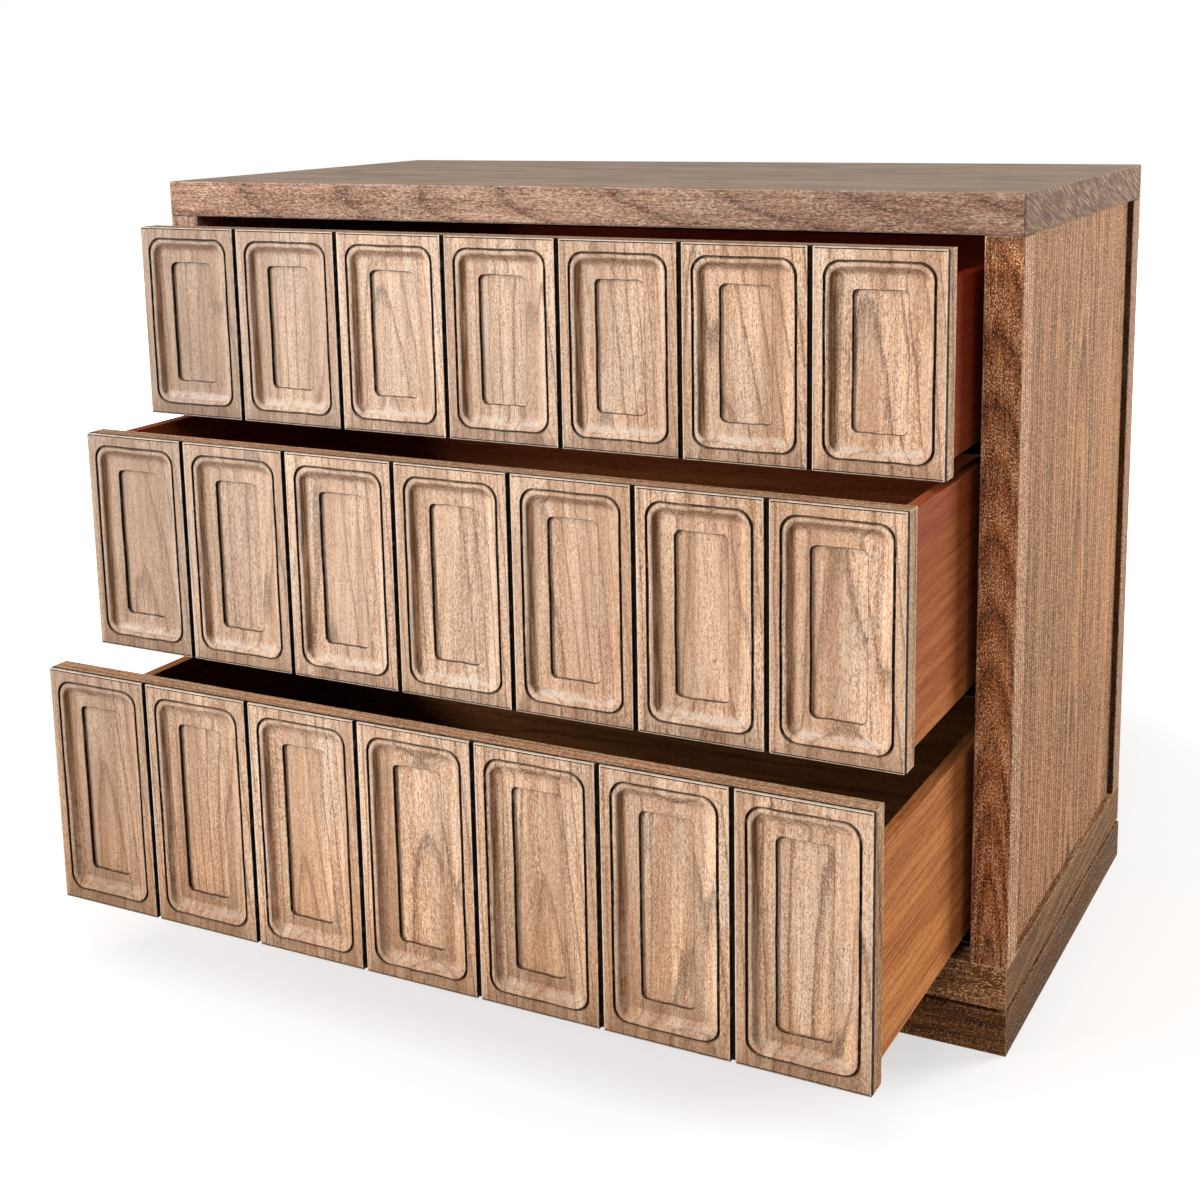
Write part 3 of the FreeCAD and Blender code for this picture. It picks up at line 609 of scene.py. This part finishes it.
def new_piece(name, points, faces, sharp=math.radians(32)):
    """A closed mesh, smooth but for the edges sharper than an angle."""
    mesh = bpy.data.meshes.new(name)
    mesh.from_pydata(points.tolist(), [], faces)
    mesh.shade_smooth()
    mesh.set_sharp_from_angle(angle=sharp)
    piece = bpy.data.objects.new(name, mesh)
    bpy.context.scene.collection.objects.link(piece)
    return piece


SHADE_FIRST = 0.34
SHADE_STEP = 0.2


def kept_wax_and_shade(inset, depth, side, across, upwards):
    """How much of a row's wax and painted shade stays, by the way it faces: across and upwards point out
    of the block.

    Wax fills the upright lines. In the level ones the black stays, as painted shade, on walls that face
    down, and mostly leaves those that face up. Along the block's edge it stays where the block meets the
    front board, and as painted shade below and to the right. The ring's inner edge and the field's top
    wall keep part of it as painted shade. The hairlines near the ends are level lines only.
    """
    on_floor = np.abs(side) < 1
    level = np.where(on_floor, 0.85, np.where(side * upwards > 0, 1, 0.2))
    kept = np.where(side == 0, 1, across ** 2 + upwards ** 2 * level)
    on_ring = (inset > COVE_FOOT) & (inset < FIELD_INSET) & (across < 0.5)
    kept = np.where(on_ring, 0.55 + 0.3 * np.clip(upwards, 0, 1), kept)
    kept = np.where((inset > FIELD_INSET) & (upwards < -0.5), 0.45, kept)
    on_edge = across ** 2 * np.where(across > 0, 1.6, 0.25) + np.clip(-upwards, 0, 1)
    on_edge = on_edge + np.where(inset > 0, 0.45, 0) + (depth > RIM - JOINT_WAX - 0.1 * MM)
    in_hairline = (inset > LIP_LINE) & (inset < LIP_END)
    kept = np.where(inset < LIP_LINE, on_edge, np.where(in_hairline, upwards ** 2, kept))
    return np.clip(kept, 0, 1)


def routed_block(drawer, number, material, random):
    """One block: loops at the profile's insets and depths, each bent a little by two slow waves.

    Its attributes, at each point: relief is the inset, the depth and the wax with its painted shade. log is
    the place in the tree, and board says where in the grain the block is cut and how much darker it is,
    most for the leftmost blocks. pale is 1 along the top, bottom and left edges, for a pale worn edge and
    painted highlight, and then 1 on the border of the lower end, for painted shade.
    """
    node = f"{drawer}_drawer_block_{number}"
    low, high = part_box(node)
    middle_x, middle_z = (low.x + high.x) / 2, (low.z + high.z) / 2
    inset, depth, wax, side = block_profile().T
    half_width = (high.x - low.x) / 2 - inset
    half_height = (high.z - low.z) / 2 - lengthwise_inset(inset)
    x, z = rounded_loop(half_width, half_height, corner_radius(inset))
    along = np.linspace(0, 2 * math.pi, x.shape[1], endpoint=False)[None, :]
    waves = random.uniform(0, 2 * math.pi, 4)
    drift = np.sin(5 * along + waves[0] + inset[:, None] * 90) + np.sin(11 * along + waves[1])
    inside = np.clip((inset - LINE_INSET + MM) / (2 * MM), 0, 1)[:, None]
    shape = 1 + WOBBLE * drift * inside / np.hypot(x, z).clip(20 * MM)
    x, z = x * shape, z * shape
    step_x, step_z = (np.roll(line, -1, axis=1) - np.roll(line, 1, axis=1) for line in (x, z))
    length = np.hypot(step_x, step_z).clip(1e-9)
    across, upwards = step_z / length, -step_x / length
    inset, depth, wax, side = (np.broadcast_to(row[:, None], x.shape) for row in (inset, depth, wax, side))
    in_hairline = (inset > LIP_LINE) & (inset < LIP_END)
    y = np.where(in_hairline, depth * upwards ** 2, depth)
    points = np.stack([x + middle_x, y + low.y, z + middle_z], axis=-1).reshape(-1, 3)
    piece = new_piece(f"{drawer}_routed_block_{number}", points, ring_faces(*x.shape))

    relief = np.stack([inset, y, wax * kept_wax_and_shade(inset, depth, side, across, upwards)], axis=-1)
    # top, bottom and left edges: a pale worn arris with a painted highlight
    ends = (upwards ** 2 + (across < 0) * across ** 2) * (inset < LIP_LINE + 0.1 * MM)
    # the border below the line on the lower side, where painted shade goes
    foot = np.clip(-upwards, 0, 1) * (inset < LINE_INSET)
    pale = np.stack([ends, foot, 0 * foot], axis=-1)
    pith = np.array([random.uniform(-0.05, 0.05), random.uniform(0.015, 0.09), 0])
    log = np.stack([x, y, z], axis=-1) + pith
    shade = max(SHADE_FIRST - SHADE_STEP * (number - 1), 0) + random.uniform(0, 0.1)
    board = np.broadcast_to([random.uniform(-1, 1), random.uniform(-1, 1), shade], x.shape + (3,))
    for name, values in (("relief", relief), ("log", log), ("board", board), ("pale", pale)):
        values = np.ascontiguousarray(values, np.float32).ravel()
        piece.data.attributes.new(name, "FLOAT_VECTOR", "POINT").data.foreach_set("vector", values)
    piece.data.materials.append(material)
    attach(piece, f"{drawer}_drawer")
    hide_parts(node)


BROAD_STREAK_SCALE = (30, 30, 2.5)
SHADE_LINE_SCALE = (420, 420, 20)
RUBBED_SCALE, PATCH_SCALE = (120, 120, 120), (90, 90, 90)
SMEAR_SCALE, TORN_SCALE, SCRATCH_SCALE = (50, 60, 120), (260, 260, 700), (620, 620, 260)
LOW_DOWN_TINT, HOLLOW_TINT = (1.0, 0.93, 0.85), (1.02, 0.90, 0.78)
# Heights above the floor, in metres, between which a tint or painted shade comes or goes.
LOW_DOWN_END, HIGH_UP_START, FOOT_PAINTED_SHADE_END = (0.1, 0.3), (0.3, 0.65), (0.1, 0.17)
BROAD_STREAK = "A87F60"
COOL_PAINTED_LIGHT = "CDC2B8"
DARKENING_BROWN = "5E4534"
HOLLOW_WASH_AND_LIGHT, SIDE_WASH = "D3C6B8", "CCB49C"
PALE_EDGE_AND_HIGHLIGHT = "E2D2C0"
SIDE_SHADE, HEAD_SHADE = "50321C", "74503A"
TORN_GRAIN = "6A4226"
BLACK_WAX_AND_SHADE = "100804"


def block_material():
    """Limed wood that each block cuts from its own place, with black wax and painted shade in its lines, and
    washed hollows.

    The inset picks out bands round the block: the lip, the cove's steep half, the whole hollow and the
    ring. The way a face looks then tells the cove's side and head, which get painted shade, its torn head,
    and its washed foot, which also gets painted light. Height gives painted shade low down.
    """
    finish = FINISHES["block"]
    material, start = new_material("routed_block_wood")
    place = start.node("TexCoord", {}, out="Object")
    board, relief, log, pale = (start.node("Attribute", {"attribute_name": name}, out="Vector")
                                for name in ("board", "relief", "log", "pale"))
    wood = place.vector("ADD", board)
    tone, rough, height = limed_grain(wood, log, finish)
    tone = tone.mix(wood.noise(BROAD_STREAK_SCALE, 3).rise(0.44, 0.62) * 0.4, colour(BROAD_STREAK))

    inset, depth, wax = (relief.axis(name) for name in "XYZ")
    worn = (1 - inset.rise(0.9 * MM, 1.5 * MM)) * (1 - depth.rise(0.8 * MM, 1.1 * MM))
    lip = inset.rise(LINE_END, LINE_END + MM) * (1 - inset.rise(COVE_INSET - 2 * MM, COVE_INSET))
    steep = inset.rise(14.5 * MM, COVE_INSET) * (1 - inset.rise(20.5 * MM, COVE_FOOT))
    hollow = inset.rise(COVE_INSET - MM, COVE_INSET + MM)
    hollow = hollow * (1 - inset.rise(COVE_FOOT - MM, COVE_FOOT + 3 * MM))
    ring = inset.rise(COVE_FOOT - MM, COVE_FOOT) * (1 - inset.rise(FIELD_INSET - MM, FIELD_INSET))

    facing = start.node("NewGeometry", {}, out="Normal")
    aside = facing.axis("X").rise(0.1, 0.45)
    level = facing.axis("Z").rise(0.05, 0.4)
    beneath = 1 - facing.axis("Z").rise(-0.45, -0.1)
    high_up, low_down = place.axis("Z").rise(*HIGH_UP_START), 1 - place.axis("Z").rise(*LOW_DOWN_END)
    upper_left = (1 - place.axis("X").rise(-0.6, 0.5)) * place.axis("Z").rise(0.1, 0.7)

    rubbed = place.noise(RUBBED_SCALE, 2).rise(0.3, 0.6)
    smear = place.noise(SMEAR_SCALE, 3, 0.6).rise(0.34, 0.54)
    torn = place.noise(TORN_SCALE, 3, 0.7).rise(0.52, 0.62)
    scratched = place.noise(SCRATCH_SCALE, 3, 0.7).rise(0.38, 0.58) * 0.6 + 0.4
    lines = (1 - wood.noise(SHADE_LINE_SCALE, 2)).rise(0.4, 0.6) * 0.3

    # painted light: a cooler, greyer cast towards the upper left
    tone = tone.mix(upper_left * 0.3, colour(COOL_PAINTED_LIGHT))
    # darker blocks at the left end, and a random amount on each, as the board attribute gives
    tone = tone.mix(board.axis("Z"), colour(DARKENING_BROWN))
    tone = tone.tint(low_down, LOW_DOWN_TINT)
    # a pale lime wash on the hollow's faces that look up, partly a painted highlight
    tone = tone.mix(smear * hollow * level * scratched * (0.7 - low_down * 0.35), colour(HOLLOW_WASH_AND_LIGHT))
    tone = tone.mix((worn * 0.5 + lip * 0.12) * rubbed, colour(finish["lime"]))
    # a pale worn arris and painted highlight on the top, bottom and left edges
    tone = tone.mix(pale.axis("X") * (0.36 + rubbed * 0.22), colour(PALE_EDGE_AND_HIGHLIGHT))
    # painted shade on the block's bottom border
    tone = tone.mix(pale.axis("Y") * 0.32, colour(DARKENING_BROWN))
    tone = tone.tint(hollow * aside, HOLLOW_TINT)
    # painted shade on the cove's steep faces that look to the right
    tone = tone.mix(steep * aside * (0.62 + lines - low_down * 0.2), colour(SIDE_SHADE))
    tone = tone.mix(smear * hollow * aside * low_down * scratched * 0.35, colour(SIDE_WASH))
    # painted shade on the cove's head, the faces that look down, more on the high blocks
    tone = tone.mix(steep * beneath * (0.1 + high_up * 0.4), colour(HEAD_SHADE))
    tone = tone.mix(torn * steep * beneath * 0.75, colour(TORN_GRAIN))
    # painted shade on the ring of the low blocks
    tone = tone.mix(ring * low_down * 0.35, colour(DARKENING_BROWN))
    # painted shade, darker towards the floor
    tone = tone.mix((1 - place.axis("Z").rise(*FOOT_PAINTED_SHADE_END)) * 0.3, colour(DARKENING_BROWN))
    patchy = place.noise(PATCH_SCALE, 2).rise(0.25, 0.5) * 0.25 + 0.77
    # black wax in the lines, with painted shade on walls that face down and on the lower and right edges
    tone = tone.mix(wax * patchy, colour(BLACK_WAX_AND_SHADE))
    wood_shader(start, tone, rough, height)
    return material


# Whole chest --------------------------------------------------------------------------------------

def finish_boards(random):
    """Gives each wooden node the finish and grain direction of its board."""
    boards = {"top_panel": ("top", "X"), "back_panel": ("inner", "Z"), "slide_cleats": ("inner", "Y")}
    for end in ("front", "rear"):
        boards[f"{end}_base_rail"] = ("rail", "X")
        boards[f"{end}_plinth_board"] = ("plinth", "X")
        for side in ("left", "right"):
            boards[f"{end}_{side}_post"] = ("frame", "Z")
    # Painted light: the front left post takes the top's paler finish, not the frame finish of the other
    # posts.
    boards["front_left_post"] = ("top", "Z")
    for side in ("left", "right"):
        boards[f"{side}_side_panel"] = ("panel", "Z")
        boards[f"{side}_base_rail"] = ("rail", "Y")
        boards[f"{side}_plinth_board"] = ("plinth", "Y")
    for drawer in DRAWERS:
        boards[f"{drawer}_drawer_front_board"] = ("front", "X")
        boards[f"{drawer}_drawer_left_side"] = ("drawer", "Y")
        boards[f"{drawer}_drawer_right_side"] = ("drawer", "Y")
        boards[f"{drawer}_drawer_back"] = ("drawer", "X")
        boards[f"{drawer}_drawer_bottom"] = ("drawer", "Y")
    for node, (finish, grain) in boards.items():
        shift = tuple(random.uniform(-1, 1, 3))
        paint(node, board_material(node, finish, grain, shift))


def finish_slides():
    """Gives every slide member the same black steel."""
    steel = steel_material()
    paint("slide_cabinet_members", steel)
    for drawer in DRAWERS:
        paint(f"{drawer}_slide_middle_members", steel)
        paint(f"{drawer}_slide_drawer_members", steel)


def frame_box(*nodes):
    """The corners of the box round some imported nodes."""
    boxes = [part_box(node) for node in nodes]
    low = Vector(min(box[0][axis] for box in boxes) for axis in range(3))
    high = Vector(max(box[1][axis] for box in boxes) for axis in range(3))
    return low, high


FLOOR_REACH = 9.0
PAPER = (0.35, 0.35, 0.35, 1)
PAPER_SEEN = (0.73, 0.73, 0.73, 1)
GLOW = 2.34
GLOW_SHARE_NEAR = 0.25
GLOW_GROWS = (0.9, 2.0)
PLINTH_FADE = 30 * MM


def make_floor():
    """A pale floor that shows white to the camera away from the chest, and keeps the chest's shadow."""
    points = np.array([(-1, -1, 0), (1, -1, 0), (1, 1, 0), (-1, 1, 0)]) * FLOOR_REACH
    floor = new_piece("floor", points, [(0, 1, 2, 3)])
    material, start = new_material("pale_floor")
    place = start.node("TexCoord", {}, out="Object")
    low, high = frame_box("left_plinth_board", "right_plinth_board")
    beside = abs(place.axis("X")).rise(high.x - PLINTH_FADE, high.x)
    behind = place.axis("Y").rise(high.y - PLINTH_FADE, high.y)
    before = 1 - place.axis("Y").rise(low.y, low.y + PLINTH_FADE)
    seen = seen_directly(start) * beside.most(behind).most(before)
    away = place.vector("LENGTH", out="Value").rise(*GLOW_GROWS)
    tone = start.node("RGB", {})
    tone.output.default_value = PAPER
    paper = start.node("BsdfDiffuse", {}, Color=tone.mix(seen, PAPER_SEEN))
    glow = start.node("Emission", {}, Color=(1, 1, 1, 1), Strength=GLOW)
    share = seen * (GLOW_SHARE_NEAR + away * (1 - GLOW_SHARE_NEAR))
    finish_surface(start, start.node("MixShader", {}, share, paper, glow))
    floor.data.materials.append(material)


def seen_directly(start):
    """1 for what the camera sees, also in a gloss, and 0 for the light that falls on the chest."""
    camera, gloss = (start.node("LightPath", {}, out=name) for name in ("Is Camera Ray", "Is Glossy Ray"))
    return camera.most(gloss)


def make_world():
    """Even light from all round, and a white background for what sees it directly."""
    world = bpy.data.worlds.new("studio")
    bpy.context.scene.world = world
    world.use_nodes = True
    world.node_tree.nodes.clear()
    start = Socket(world.node_tree)
    even = start.node("Background", {}, (1, 1, 1, 1), EVEN_LIGHT)
    white = start.node("Background", {}, (1, 1, 1, 1), 1.0)
    start.node("OutputWorld", {}, start.node("MixShader", {}, seen_directly(start), even, white))


def main():
    """Sets the light and the floor, then draws random numbers for the boards first and the blocks last."""
    random = np.random.default_rng(SEED)
    place_camera()
    for light in SOFT_LIGHTS:
        soft_light(*light)
    make_world()
    make_floor()
    finish_boards(random)
    finish_slides()
    wood = block_material()
    for drawer in DRAWERS:
        for number in range(1, BLOCKS_PER_DRAWER + 1):
            routed_block(drawer, number, wood, random)
    bpy.context.scene.view_settings.view_transform = "Standard"


main()
